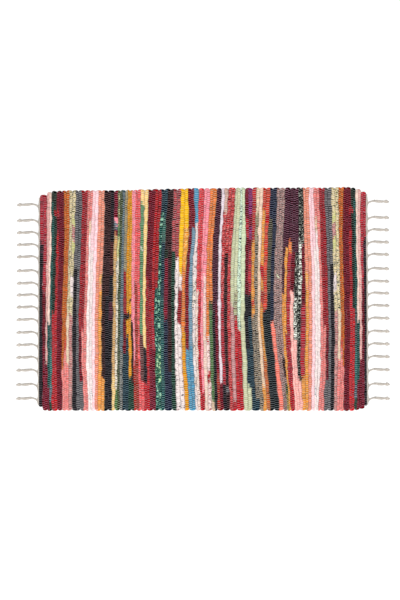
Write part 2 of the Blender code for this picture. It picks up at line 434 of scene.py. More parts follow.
# Heading and fringe
HEADING_ROWS = 2
HEADING_ROW_WIDTH = 0.0017
HEADING_HALF_HEIGHT = 0.0018
HEADING_MIDDLE = 0.0021
HEADING_SHOULDER = 0.6
HEADING_INSET = 0.003
STRAND_STEPS = (
    # from the far selvedge over the strands to the near one, before fitting
    0.044, 0.043, 0.033, 0.033, 0.033, 0.038, 0.034, 0.032, 0.033,
    0.034, 0.035, 0.034, 0.034, 0.035, 0.039, 0.038, 0.028,
)
STRAND_LINE = (
    # out from the heading, sideways rise, width, height
    (0.0000, 0.0000, 0.0050, 0.0036),
    (0.0034, 0.0024, 0.0042, 0.0036),
    (0.0070, 0.0044, 0.0036, 0.0034),
    (0.0110, 0.0059, 0.0034, 0.0034),
    (0.0145, 0.0066, 0.0038, 0.0036),
    (0.0175, 0.0068, 0.0042, 0.0038),
    (0.0205, 0.0066, 0.0048, 0.0040),
    (0.0250, 0.0058, 0.0058, 0.0046),
    (0.0300, 0.0053, 0.0062, 0.0048),
    (0.0350, 0.0050, 0.0060, 0.0046),
    (0.0400, 0.0050, 0.0050, 0.0040),
    (0.0435, 0.0051, 0.0040, 0.0036),
    (0.0500, 0.0050, 0.0046, 0.0042),
    (0.0545, 0.0045, 0.0042, 0.0036),
    (0.0580, 0.0041, 0.0048, 0.0026),
)

# Plies: how far each stands off the strand's line and how thick it is, as
# shares of the strand's width, its height and the mean of both
PLIES = 3
PLY_TURN = 0.0085
PLY_START = 0.0015
PLY_RINGS = 46
PLY_POINTS = 5
PLY_ASIDE = 0.30
PLY_UP = 0.24
PLY_RADIUS = 0.36
PLY_TIP = (0.8, 0.4)

# Knots, and the share that their coil and their yarn lose at the ends
KNOTS = (
    # out from the heading, half length, radius, thread radius, turns
    (0.0175, 0.0018, 0.0022, 0.0010, 2.0),
    (0.0500, 0.0040, 0.0031, 0.0015, 3.0),
)
KNOT_RINGS = 26
KNOT_POINTS = 6
KNOT_FIRST_ANGLE = 0.6
KNOT_MIDDLE = 0.0030
KNOT_TOP = 0.0063
KNOT_FLATNESS = 0.62
KNOT_SLANT = 0.25
KNOT_NARROWING = 0.72
THREAD_NARROWING = 0.6

# Gathers: warps on their way from the heading to the strands
GATHER_RINGS = 10
GATHER_POINTS = 3
GATHER_RADIUS = 0.00074
GATHER_FROM = -0.0018
GATHER_LENGTH = 0.0090
GATHER_CLOSING = 6
GATHER_WAVES = (
    # size, and angle from one warp to the next: sideways, then upward
    (0.0009, 2.4),
    (0.0006, 1.7),
)
WAVE_SINKING = 0.3

# Stage
FLOOR_REACH = 30.0
AIR_STRENGTH = 0.46
LIGHTS = (
    # name, place, size, watts
    ("key_light", (-0.6, -2.3, 5.4), 2.4, 276.0),
    ("fill_light", (0.8, 2.8, 3.6), 2.5, 40.0),
)
CAMERA_PLACE = (-0.0082, -0.0030)
SENSOR_WIDTH = 36.0

SEED = 7


def linear(colour):
    """Screen colour to light: the sRGB curve, ((c + 0.055) / 1.055) to the power 2.4."""
    colour = np.asarray(colour, float)
    return np.where(colour <= 0.04045, colour / 12.92, ((colour + 0.055) / 1.055) ** 2.4)


def opaque(colour):
    """Screen colour as light, with full alpha."""
    return tuple(linear(colour)) + (1.0,)


def read_table(rows, column, at):
    """Straight-line reading of one column of a table, by its first column."""
    rows = np.array(rows)
    return np.interp(at, rows[:, 0], rows[:, column])


def corner_drops(edge, x):
    """Both corners' cuts at one selvedge. A cut falls off as the square of the way to its end."""
    drops = 0.0
    for end, distance in (("left", x + CLOTH_HALF_LENGTH), ("right", CLOTH_HALF_LENGTH - x)):
        run, drop = CORNERS[f"{edge}_{end}"]
        drops = drops + drop * np.clip(1.0 - distance / run, 0.0, 1.0) ** 2
    return drops


def far_edge(x):
    """The far selvedge with its two worn corners."""
    return read_table(FAR_SELVEDGE, 1, x) - corner_drops("far", x)


def near_edge(x):
    """The near selvedge with its two worn corners."""
    return NEAR_SELVEDGE + corner_drops("near", x)


def end_line(side, y):
    """The cloth's end at one side, which leans with y."""
    return side * (CLOTH_HALF_LENGTH - END_LEAN * y / HALF_WIDTH)


def soft(rng, shape, kind):
    """Smooth unevenness: white noise averaged along the last axis, as UNEVEN says."""
    size, reach = UNEVEN[kind]
    noise = rng.standard_normal(shape[:-1] + (shape[-1] + reach - 1,))
    total = np.cumsum(noise, axis=-1)
    total = np.concatenate((np.zeros(shape[:-1] + (1,)), total), axis=-1)
    return size * ((total[..., reach:] - total[..., :-reach]) / math.sqrt(reach))


def unit_like(points, axis):
    """A unit vector along one axis for each point."""
    vectors = np.zeros(points.shape)
    vectors[..., axis] = 1.0
    return vectors


def tubes(centre, side, up, wide, high):
    """Rings of many tubes: centre + wide * side + high * up.

    centre, side and up have the shape tubes by rings by 3, and wide and high
    tubes by rings by points round. The result is tubes by rings by points by 3.
    """
    across = wide[..., None] * side[:, :, None, :]
    return centre[:, :, None, :] + across + high[..., None] * up[:, :, None, :]


def weave_mesh(name, rings, finish, facts=None):
    """One closed mesh from tubes of rings, with its UV maps and attributes.

    Quads join each ring to the next, and each tube's two end rings are capped.
    The map rag has u along the tube and v round it, in metres. The map OFBake
    lays each tube out as a strip of its own.
    """
    count, length, around = rings.shape[:3]
    index = np.arange(count * length * around).reshape(count, length, around)
    after = np.roll(index, -1, axis=2)
    quads = np.stack((index[:, :-1], after[:, :-1], after[:, 1:], index[:, 1:]), axis=-1)
    caps = np.concatenate((index[:, 0, ::-1], index[:, -1]))
    corners = np.concatenate((quads.reshape(-1), caps.reshape(-1)))
    quad_count = quads.size // 4
    starts = np.concatenate((
        np.arange(quad_count) * 4,
        quad_count * 4 + np.arange(len(caps)) * around,
    ))

    mesh = bpy.data.meshes.new(name)
    mesh.vertices.add(index.size)
    mesh.vertices.foreach_set("co", rings.reshape(-1).astype(np.float32))
    mesh.loops.add(len(corners))
    mesh.loops.foreach_set("vertex_index", corners.astype(np.int32))
    mesh.polygons.add(len(starts))
    mesh.polygons.foreach_set("loop_start", starts.astype(np.int32))
    mesh.polygons.foreach_set("use_smooth", np.ones(len(starts), bool))
    mesh.update(calc_edges=True)

    step = np.linalg.norm(np.diff(rings.mean(axis=2), axis=1), axis=-1)
    along = np.concatenate((np.zeros((count, 1)), np.cumsum(step, axis=1)), axis=1)
    girth = np.linalg.norm(np.diff(rings[:, length // 2], axis=1), axis=-1).sum(axis=1)
    turn = np.arange(around + 1) / around
    round_it = girth[:, None] * turn[None, :]
    fresh = np.arange(count) * FRESH_START
    for map_name in ("rag", "OFBake"):
        if map_name == "rag":
            u = np.broadcast_to(along[:, :, None], (count, length, around + 1))
            v = np.broadcast_to(round_it[:, None, :] + fresh[:, None, None], u.shape)
        else:
            share = STRIP_ENDS + (1.0 - 2 * STRIP_ENDS) * np.arange(length) / (length - 1)
            inner = STRIP_SIDES + (1.0 - 2 * STRIP_SIDES) * turn
            strip = (np.arange(count)[:, None] + inner[None, :]) / count
            u = np.broadcast_to(share[None, :, None], (count, length, around + 1))
            v = np.broadcast_to(strip[:, None, :], u.shape)
        uv = np.stack((u, v), axis=-1)
        quad_uv = np.stack((
            uv[:, :-1, :-1], uv[:, :-1, 1:], uv[:, 1:, 1:], uv[:, 1:, :-1],
        ), axis=3)
        cap_uv = np.concatenate((uv[:, 0, -2::-1], uv[:, -1, :-1]))
        layer = mesh.uv_layers.new(name=map_name)
        flat = np.concatenate((quad_uv.reshape(-1), cap_uv.reshape(-1)))
        layer.data.foreach_set("uv", flat.astype(np.float32))

    for key, values in (facts or {}).items():
        kind, field = ("FLOAT_COLOR", "color") if values.ndim == 4 else ("FLOAT", "value")
        attribute = mesh.attributes.new(key, kind, "POINT")
        attribute.data.foreach_set(field, values.reshape(-1).astype(np.float32))
    mesh.materials.append(finish)
    piece = bpy.data.objects.new(name, mesh)
    bpy.context.scene.collection.objects.link(piece)
    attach(piece, BODY)
    return piece


def across_weights(y):
    """Share of each of the six readings at places y: straight lines, then smoothed."""
    places = np.array(READ_ACROSS[::-1])
    weights = np.stack([
        np.interp(y, places, unit) for unit in np.eye(len(places))
    ], axis=-1)[:, ::-1]
    edge = READ_SMOOTHING // 2
    padded = np.pad(weights, ((edge, edge), (0, 0)), mode="edge")
    total = np.cumsum(np.vstack((np.zeros((1, weights.shape[1])), padded)), axis=0)
    return (total[READ_SMOOTHING:] - total[:-READ_SMOOTHING]) / READ_SMOOTHING


class Weave:
    """Where every rag lies: one set of arrays that the wefts and the warps share.

    lines[i, k] is the X of line i between two rags at station k. centre and half
    are a rag's middle and half-width there, y is its place across the rug, and
    phase says which of the four places of CROWN it has. share is how far a
    station is from the near selvedge to the far one.
    """

    def __init__(self):
        stations = 2 * WARPS + 1
        share = np.linspace(0.0, 1.0, stations)
        level = NEAR_SELVEDGE + (CHART_EDGE - NEAR_SELVEDGE) * share
        table = np.array(WEFT_LINES, float)
        readings = np.stack([
            np.interp(np.arange(WEFTS + 1), table[:, 0], table[:, column])
            for column in range(1, table.shape[1])
        ], axis=-1)
        self.lines = READ_FROM + MM * readings @ across_weights(level).T
        rng = np.random.default_rng(SEED)
        inner = (WEFTS - 1, stations)
        self.lines[1:-1] += soft(rng, inner, "line_bow") + soft(rng, inner, "line_step")
        self.centre = (self.lines[1:] + self.lines[:-1]) / 2
        self.half = (self.lines[1:] - self.lines[:-1]) / 2
        inset = TURN_REACH + TURN_HALF_WIDTH
        weft = np.arange(WEFTS)
        near_turn = (self.centre[:, 0] + self.centre[weft + turn_partners(False), 0]) / 2
        far_turn = (self.centre[:, -1] + self.centre[weft + turn_partners(True), -1]) / 2
        loose = TURN_UNEVEN * rng.uniform(-1.0, 1.0, WEFTS + 1)
        near = (near_edge(near_turn) + loose[(weft + 1) // 2])[:, None] + inset
        far = (far_edge(far_turn) + loose[WEFTS // 2 + weft // 2])[:, None] - inset
        self.y = near + (far - near) * share
        held = np.clip(np.minimum(share, 1.0 - share) / FIRM_EDGE, 0.0, 1.0)
        self.y += held * soft(rng, self.y.shape, "warp_wander")
        self.phase = (np.arange(stations)[None, :] - 1 + 2 * weft[:, None]) % 4
        self.share = share


def chart_rows():
    """Every weft's rags as (cloth names, splice places): the chart, then its mirrored end."""
    rows = []
    for text in CHART:
        words = text.split()
        rows.append((words[0::2], [float(word) for word in words[1::2]]))
    ends = WEFTS - len(rows)
    for names, splices in rows[ends - 1::-1]:
        rows.append((names, [place - END_SHIFT for place in splices]))
    return rows


def cloth_facts(rings, rng, spread):
    """Dye, fleck and fleck reach of the rag at every point, as wefts by rings by points by 4.

    A rag's end lies aslant over the next one and is ragged, and each rag's dye
    is a little stronger or weaker than its cloth's. Which way the ends lean is
    drawn, but the first weft's lean as in the photo, against the draw.
    """
    ragged = soft(rng, rings.shape[:2], "ragged_end")[..., None]
    way = rng.choice((-1.0, 1.0), (WEFTS, 1, 1))
    way[0] = -way[0]
    slant = SPLICE_SLANT * way * ROUND_WIDE
    y = rings[..., 1] + ragged + slant
    dye = np.ones(y.shape + (4,))
    fleck = np.ones(y.shape + (4,))
    for weft, (names, splices) in enumerate(chart_rows()):
        rag = np.searchsorted(np.array(splices) * MM, CHART_EDGE - y[weft])
        cloths = [CLOTHS[name] for name in names]
        dyes = np.array([linear(cloth[0]) for cloth in cloths])
        dyes = dyes * (1.0 + spread * rng.standard_normal((len(names), 1)))
        flecks = np.array([linear(cloth[1] if len(cloth) > 1 else cloth[0]) for cloth in cloths])
        reach = np.array([cloth[2] if len(cloth) > 1 else NO_FLECKS for cloth in cloths])
        dye[weft, ..., :3] = dyes[rag]
        fleck[weft, ..., :3] = flecks[rag]
        fleck[weft, ..., 3] = reach[rag]
    return dye, fleck


def turn_partners(far):
    """Which way each weft turns at a selvedge: 1 to the next weft, -1 to the one before,
    0 at a loose end."""
    weft = np.arange(WEFTS)
    ahead = weft % 2 == (0 if far else 1)
    way = np.where(ahead, 1, -1)
    if not far:
        way[0] = 0
        way[-1] = 0
    return way


def weft_rings(weave):
    """Rings of every weft, from its turn at the near selvedge to that at the far one.

    A rag's crown rises over a warp and dips under the next, and neighbouring
    wefts do so by turns. Over the last stations before a selvedge the rag sinks
    and thins, as the square root of the way there.
    """
    rng = np.random.default_rng(SEED)
    shape = weave.centre.shape
    phase = weave.phase
    uneven = 1.0 + soft(rng, shape, "width") + soft(rng, shape, "slow_width")
    crest = 1.0 + soft(rng, shape, "crest") + soft(rng, shape, "slow_crest")
    crest = np.minimum(crest, CREST_LIMIT)
    stations_in = np.minimum(weave.share, 1.0 - weave.share) * 2 * WARPS
    settle = np.clip(stations_in / EDGE_STATIONS, 0.0, 1.0) ** 0.5
    fullness = EDGE_HEIGHT + (1.0 - EDGE_HEIGHT) * settle
    half = np.minimum(weave.half * 2 * SPREAD[phase] * uneven, RAG_HALF_LIMIT)
    crown = CLOTH_HALF_HEIGHT * CROWN[phase] * crest * fullness
    belly = CLOTH_HALF_HEIGHT * BELLY[phase] * fullness
    middle = CLOTH_MIDDLE - TURN_DROP * (1.0 - settle)

    x = weave.centre + soft(rng, shape, "rag_middle")
    centre = np.stack((x, weave.y, np.broadcast_to(middle, shape)), axis=-1)
    wide = half[..., None] * ROUND_WIDE
    high = crown[..., None] * ROUND_CROWN + belly[..., None] * ROUND_BELLY
    high[..., 1:3] += soft(rng, shape + (2,), "crown_lift")
    rings = tubes(centre, unit_like(centre, 0), unit_like(centre, 2), wide, high)
    near = turn_rings(weave, False)[:, ::-1]
    far = turn_rings(weave, True)
    return np.concatenate((near, rings, far), axis=1)


def turn_rings(weave, far):
    """Rings of every weft's turn at one selvedge, from the cloth outward.

    A ring's middle goes round a quarter of an oval to the line that the weft
    shares with the one it turns to. A loose end goes straight on.
    """
    station = -1 if far else 0
    outward = 1.0 if far else -1.0
    way = turn_partners(far)[:, None]
    angle = TURN_ANGLES[None, :]
    share = np.sin(angle)
    half = weave.half[:, station][:, None]
    x = weave.centre[:, station][:, None] + way * half * (1.0 - np.cos(angle))
    y = weave.y[:, station][:, None] + outward * TURN_REACH * share
    z = np.full(x.shape, CLOTH_MIDDLE - TURN_DROP)
    centre = np.stack((x, y, z), axis=-1)
    turned = angle * np.where(way == 0, 0.0, 1.0)
    side = np.stack((np.cos(turned), -outward * way * np.sin(turned), np.zeros(x.shape)), axis=-1)
    half_turn = half + (TURN_HALF_WIDTH - half) * share
    tall = CLOTH_HALF_HEIGHT * TURN_START_HEIGHT * EDGE_HEIGHT
    tall = np.broadcast_to(tall + (TURN_HALF_HEIGHT - tall) * share, x.shape)
    wide = half_turn[..., None] * ROUND_WIDE
    high = tall[..., None] * (ROUND_CROWN - ROUND_BELLY)
    return tubes(centre, side, unit_like(centre, 2), wide, high)


def weave_wefts(props):
    """The rag cloth: each band of wefts is one piece, woven with its own warps.

    A warp is painted with the dye of the rags that it crosses, as painted light from them.
    """
    weave = Weave()
    rings = weft_rings(weave)
    turns = len(TURN_ANGLES)
    rng = np.random.default_rng(SEED + 1)
    dye, fleck = cloth_facts(rings, rng, props.fading)
    # Painted shade: each point's share of light for the rag's colour, least where the rag dips
    # under a warp and at its sides; the turns keep all of it.
    crown = np.pad(PAINTED_LIGHT_SHARE[weave.phase], ((0, 0), (turns, turns)), constant_values=1.0)
    crown = crown[..., None] * np.where(ROUND_WIDE ** 2 == 1.0, PAINTED_LIGHT_SIDE, 1.0)
    finish = rag_finish(props)
    cotton = cotton_finish(props, "warp_cotton_rag_light_finish", RAG_LIGHT_SHARE)
    for band in range(BANDS):
        rows = slice(band * BAND_WEFTS, (band + 1) * BAND_WEFTS)
        facts = {"dye": dye[rows], "fleck": fleck[rows], "crown": crown[rows]}
        rags = weave_mesh(f"rag_band_{band + 1}", rings[rows], finish, facts)
        line = warp_rings(weave, band)
        # Painted light from the rags: the dye of the rag each warp crosses, which the warps'
        # finish lightens.
        rag_light = dye[rows, turns + 1:-turns - 1:2, 1].transpose(1, 0, 2).repeat(2, axis=1)
        rag_light = np.concatenate((rag_light[:, :1], rag_light, rag_light[:, -1:]), axis=1)[:, :, None, :]
        rag_light = np.broadcast_to(rag_light, line.shape[:3] + (4,))
        warps = weave_mesh(
            f"warps_band_{band + 1}", line, cotton, {"dye": rag_light},
        )
        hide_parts("woven_cloth")
        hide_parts("woven_cloth")


def warp_rings(weave, band):
    """Rings of a band's warps: three points round a line that holds level over or
    under each rag and crosses between them."""
    wefts = np.arange(band * BAND_WEFTS, (band + 1) * BAND_WEFTS)
    warp = np.arange(WARPS)
    station = 2 * warp + 1
    middle = weave.centre[wefts][:, station].T
    half = weave.half[wefts][:, station].T
    over = np.where((wefts[None, :] + warp[:, None]) % 2 == 1, 1.0, -1.0)
    x = np.stack((middle - 2 * WARP_HOLD * half, middle + 2 * WARP_HOLD * half), axis=-1)
    y = np.repeat(weave.y[wefts][:, station].T[..., None], 2, axis=-1)
    z = CLOTH_MIDDLE + WARP_SWAY * CLOTH_HALF_HEIGHT * over
    line = np.stack((x, y, np.repeat(z[..., None], 2, axis=-1)), axis=-1).reshape(WARPS, -1, 3)
    first = line[:, :1].copy()
    last = line[:, -1:].copy()
    first[..., 0] = weave.lines[wefts[0]][station][:, None]
    last[..., 0] = weave.lines[wefts[-1] + 1][station][:, None]
    first[..., 2] = CLOTH_MIDDLE
    last[..., 2] = CLOTH_MIDDLE
    line = np.concatenate((first, line, last), axis=1)
    angle = math.pi / 2 + np.arange(WARP_POINTS) * 2 * math.pi / WARP_POINTS
    points = line.shape[:2] + (WARP_POINTS,)
    wide = np.broadcast_to(WARP_RADIUS * np.cos(angle), points)
    high = np.broadcast_to(WARP_RADIUS * np.sin(angle), points)
    return tubes(line, unit_like(line, 1), unit_like(line, 2), wide, high)


class Socket:
    """A node's output that takes part in sums. A sum on it adds a Math node."""

    def __init__(self, finish, output):
        self.finish = finish
        self.output = output

    def sum(self, operation, first, second):
        """One Math node on two values."""
        return self.finish.node("ShaderNodeMath", {"operation": operation}, {0: first, 1: second})

    def __add__(self, other):
        return self.sum("ADD", self, other)

    def __sub__(self, other):
        return self.sum("SUBTRACT", self, other)

    def __rsub__(self, other):
        return self.sum("SUBTRACT", other, self)

    def __mul__(self, other):
        return self.sum("MULTIPLY", self, other)

    __radd__ = __add__
    __rmul__ = __mul__


class Finish:
    """One material's nodes."""

    def __init__(self, name):
        self.material = bpy.data.materials.new(name)
        self.material.use_nodes = True
        self.tree = self.material.node_tree
        self.shader = self.tree.nodes["Principled BSDF"]

    def connect(self, socket, value):
        """Link a Socket, or set a number, vector or colour."""
        if isinstance(value, Socket):
            self.tree.links.new(value.output, socket)
        else:
            socket.default_value = value

    def node(self, kind, settings=None, values=None, output=0):
        """Add a node: its settings first, then its sockets' values or links."""
        node = self.tree.nodes.new(kind)
        for key, value in (settings or {}).items():
            setattr(node, key, value)
        for key, value in (values or {}).items():
            self.connect(node.inputs[key], value)
        return Socket(self, node.outputs[output])

    def attribute(self, name, output=0):
        """A mesh attribute: output 0 is its colour, 2 its value and 3 its alpha."""
        return self.node("ShaderNodeAttribute", {"attribute_name": name}, output=output)

    def uneven_normal(self, strength, distance, height):
        """A normal from a relief of the surface."""
        values = {"Strength": strength, "Distance": distance, "Height": height}
        return self.node("ShaderNodeBump", {}, values)

    def set(self, **values):
        """Set the shader's own sockets, named with underscores for spaces."""
        for key, value in values.items():
            self.connect(self.shader.inputs[key.replace("_", " ")], value)

    def mix(self, share, first, second, blend="MIX"):
        """Mix two colours."""
        settings = {"data_type": "RGBA", "blend_type": blend, "clamp_factor": True}
        return self.node("ShaderNodeMix", settings, {0: share, 6: first, 7: second}, 2)

    def stretch(self, vector, scale):
        """A vector times a vector, axis by axis."""
        return self.node("ShaderNodeVectorMath", {"operation": "MULTIPLY"}, {0: vector, 1: scale})

    def noise(self, vector, scale, detail=2.0, output=0):
        """Noise on a vector, from about 0.3 to 0.7: output 0 is a value, 1 three of them."""
        values = {"Vector": vector, "Scale": scale, "Detail": detail}
        return self.node("ShaderNodeTexNoise", {"noise_dimensions": "2D"}, values, output)

    def grain(self, rag, kind):
        """One of GRAINS on the map of the rag."""
        stretch, scale, detail = GRAINS[kind]
        return self.noise(self.stretch(rag, stretch), scale, detail)

    def clamp(self, value):
        """Keep a value between 0 and 1."""
        return self.node("ShaderNodeClamp", {}, {0: value})

    def grey(self, value):
        """A value as a grey colour."""
        return self.node("ShaderNodeCombineColor", {}, {0: value, 1: value, 2: value})


def rag_finish(props):
    """Torn cotton rags: dye, print flecks, painted shade where a rag dips and at its sides,
    creases along the rag and fibre.
    """
    finish = Finish("rag_cloth_finish")
    rag = finish.node("ShaderNodeUVMap", {"uv_map": "rag"})
    dye = finish.attribute("dye")
    fleck = finish.attribute("fleck")
    reach = finish.attribute("fleck", 3)
    # The share of painted light at each point: painted shade where it is below 1.
    crown = finish.attribute("crown", 2)

    drift = finish.stretch(finish.noise(rag, DRIFT_SCALE, 1.0, output=1), FLECK_DRIFT)
    moved = finish.node("ShaderNodeVectorMath", {"operation": "ADD"}, {0: rag, 1: drift})
    slanted = finish.node("ShaderNodeMapping", {}, {
        "Vector": moved, "Rotation": (0.0, 0.0, FLECK_TILT), "Scale": (1.0, FLECK_SLIMNESS, 1.0),
    })
    coarse = finish.node("ShaderNodeMath", {"operation": "GREATER_THAN"}, {0: reach, 1: COARSE})
    slanted = finish.stretch(slanted, finish.grey(1.0 - coarse * COARSE_SCALE))
    reach = reach - coarse * COARSE
    cells = {"Vector": slanted, "Scale": 1.0 / props.sprig_step}
    flat = {"voronoi_dimensions": "2D"}
    away = finish.node("ShaderNodeTexVoronoi", flat, cells)
    draw = finish.node("ShaderNodeTexVoronoi", flat, cells, 1)
    size = finish.node("ShaderNodeSeparateColor", {}, {0: draw}) * FLECK_SPREAD + FLECK_SMALLEST
    sprigs = finish.clamp((reach * size - away) * FLECK_SHARPNESS + 0.5)
    colour = finish.mix(sprigs, dye, fleck)

    slow = finish.grain(rag, "slow")
    crease = finish.grain(rag, "crease")
    fibre = finish.grain(rag, "fibre")
    light = finish.node("ShaderNodeRGBToBW", {}, {0: colour})
    # Painted shade, stronger on dark cloths: where a rag dips under a warp and at its sides its
    # colour gets a steeper gamma and a lower tone.
    dark = finish.clamp(DARK_BELOW - light)
    painted_shade = (1.0 - crown) * dark
    # A gamma of 1.2 deepens every dye; what it rises by in the dips is painted shade.
    dye_gamma_and_painted_shade = 1.2 + (1.0 - crown) * (0.2 + dark * 1.2)
    colour = finish.node("ShaderNodeGamma", {}, {0: colour, 1: dye_gamma_and_painted_shade})
    patches = (slow - 0.5) * (0.9 + dark * 4.0)
    # Random patches, creases and fibre, times the painted shade.
    tone_and_painted_light = (patches + 0.55 + crease * 0.6 + fibre * 0.3) * (0.96 - painted_shade * 1.5)
    colour = finish.mix(1.0, colour, finish.grey(tone_and_painted_light), "MULTIPLY")
    finish.set(
        Base_Color=colour,
        Roughness=0.84 + crease * 0.16,
        Normal=finish.uneven_normal(0.55, 0.0009, crease * 0.7 + fibre * 0.3),
        Specular_IOR_Level=0.08,
    )
    return finish.material


def cotton_finish(props, name="cotton_cord_finish", rag_light=0.0, light=1.0):
    """Unbleached cotton: off-white, with the slanting lines of its spun yarns.

    Its third argument is the share of its colour that is the rags' dye, lightened:
    painted light from the rags round it. light is how much paler than the cords
    the yarn is: a paler copy of the same cotton, painted light.
    """
    found = bpy.data.materials.get(name)
    if found:
        return found
    finish = Finish(name)
    rag = finish.node("ShaderNodeUVMap", {"uv_map": "rag"})
    slant = finish.node("ShaderNodeMapping", {}, {
        "Vector": rag, "Rotation": (0.0, 0.0, YARN_TILT), "Scale": YARN_SCALE,
    })
    yarn = finish.noise(slant, 1.0, 2.0)
    slow = finish.noise(rag, COTTON_PATCHES, 2.0)
    base = opaque(props.cotton_colour)
    # Painted light from the rags: their dye, lightened, makes up most of a warp's colour.
    if rag_light:
        lit_rag_dye = finish.node("ShaderNodeGamma", {}, {0: finish.attribute("dye"), 1: RAG_LIGHT_GAMMA})
        base = finish.mix(rag_light, base, lit_rag_dye)
    # light makes a paler copy of this cotton: painted light.
    tone_and_painted_light = (0.56 + yarn * 0.50 + slow * 0.35) * light
    colour = finish.mix(1.0, base, finish.grey(tone_and_painted_light), "MULTIPLY")
    finish.set(
        Base_Color=colour,
        Roughness=0.82 + yarn * 0.16,
        Normal=finish.uneven_normal(0.6, 0.0006, yarn),
        Specular_IOR_Level=0.1,
    )
    return finish.material


def floor_finish(props):
    """A plain pale floor."""
    finish = Finish("studio_floor_finish")
    finish.set(
        Base_Color=opaque(props.floor_colour),
        Roughness=0.9,
        Specular_IOR_Level=0.1,
    )
    return finish.material


def strand_roots(side):
    """Places of the strands across the rug, from the far one to the near one."""
    far = float(read_table(FAR_SELVEDGE, 1, side * CLOTH_HALF_LENGTH))
    passed = np.cumsum(STRAND_STEPS)
    return far - (far - NEAR_SELVEDGE) * passed[:-1] / passed[-1]


def heading_face(side, y):
    """X of the heading's inner face at y."""
    return end_line(side, y) + side * PIECE_GAP


def heading_span(side):
    """Y of the heading's near and far ends, which keep clear of the worn corners."""
    near = float(near_edge(side * CLOTH_HALF_LENGTH)) + HEADING_INSET
    far = float(far_edge(side * CLOTH_HALF_LENGTH)) - HEADING_INSET
    return near, far


def heading_rings(side):
    """The heading's rows of cotton yarn: a weave of the same warps, finer than the rags."""
    stations = 2 * WARPS + 1
    near, far = heading_span(side)
    y = np.linspace(near, far, stations)
    row = np.arange(HEADING_ROWS)[:, None]
    x = heading_face(side, y)[None, :] + side * HEADING_ROW_WIDTH * (row + 0.5)
    phase = (np.arange(stations)[None, :] - 1 + 2 * row) % 4
    centre = np.stack((x, np.broadcast_to(y, x.shape), np.full(x.shape, HEADING_MIDDLE)), axis=-1)
    crown = HEADING_HALF_HEIGHT * CROWN[phase]
    belly = HEADING_HALF_HEIGHT * BELLY[phase]
    half = HEADING_ROW_WIDTH * SPREAD[phase]
    level = (crown + belly) / 2
    inner = half * HEADING_SHOULDER
    wide = np.stack((half, inner, -inner, -half, -inner, inner), axis=-1)
    high = np.stack((level, crown, crown, level, belly, belly), axis=-1)
    return tubes(centre, unit_like(centre, 0), unit_like(centre, 2), wide, high)


def round_tubes(line, radius, points):
    """Tubes round lines of any course: each ring stands across the line's own direction.

    side is the direction turned by a right angle on the floor, and up is what is
    square to both.
    """
    way = np.gradient(line, axis=1)
    way = way / np.maximum(np.linalg.norm(way, axis=-1, keepdims=True), 1e-9)
    side = np.cross(unit_like(line, 2), way)
    side = side / np.maximum(np.linalg.norm(side, axis=-1, keepdims=True), 1e-9)
    up = np.cross(way, side)
    angle = np.arange(points) * 2 * math.pi / points
    wide = radius[..., None] * np.cos(angle)
    high = radius[..., None] * np.sin(angle)
    return tubes(line, side, up, wide, high)


def strand_axis(side, out):
    """A strand's middle line for each root: place out from the heading, with its rise."""
    roots = strand_roots(side)
    rise = read_table(STRAND_LINE, 1, out)
    tall = read_table(STRAND_LINE, 3, out)
    y = roots[:, None] + rise[None, :]
    x = heading_face(side, roots)[:, None] + side * (HEADING_WIDTH + out)[None, :]
    z = np.broadcast_to(tall / 2, y.shape)
    return np.stack((x, y, z), axis=-1)


def ply_rings(side):
    """Plies of every strand: lines that wind round its axis once each PLY_TURN, and
    thin out at the tip."""
    out = np.linspace(PLY_START, STRAND_LINE[-1][0], PLY_RINGS)
    axis = strand_axis(side, out)
    wide = read_table(STRAND_LINE, 2, out)
    tall = read_table(STRAND_LINE, 3, out)
    plies = []
    for ply in range(PLIES):
        angle = 2 * math.pi * (out / PLY_TURN + ply / PLIES)
        shift = np.zeros(axis.shape)
        shift[..., 1] = PLY_ASIDE * wide * np.cos(angle)
        shift[..., 2] = PLY_UP * tall * np.sin(angle)
        plies.append(axis + shift)
    line = np.concatenate(plies)
    radius = np.broadcast_to(PLY_RADIUS * (wide + tall) / 2, line.shape[:2]).copy()
    radius[:, -len(PLY_TIP):] *= PLY_TIP
    rings = round_tubes(line, radius, PLY_POINTS)
    rings[..., 2] = np.maximum(rings[..., 2], 0.0)
    return rings


def knot_rings(side, knot):
    """A knot: yarn wound round the strand in a short slanting coil.

    It swells in its middle. Toward an end its radius falls as the square root of
    one less a share of the way squared, and the yarn's as that of the way to the
    fourth power.
    """
    place, half_length, radius, thread, turns = knot
    share = np.linspace(-1.0, 1.0, KNOT_RINGS)
    line = strand_axis(side, place + half_length * share)
    angle = 2 * math.pi * turns * (share + 1) / 2 + KNOT_FIRST_ANGLE
    swell = radius * np.sqrt(1.0 - KNOT_NARROWING * share ** 2)
    line[..., 0] += side * KNOT_SLANT * half_length * np.sin(angle)
    line[..., 1] += swell * np.cos(angle)
    line[..., 2] = KNOT_MIDDLE + KNOT_FLATNESS * swell * np.sin(angle)
    size = thread * np.sqrt(1.0 - THREAD_NARROWING * share ** 4)
    rings = round_tubes(line, np.broadcast_to(size, line.shape[:2]), KNOT_POINTS)
    rings[..., 2] = np.clip(rings[..., 2], 0.0, KNOT_TOP)
    return rings


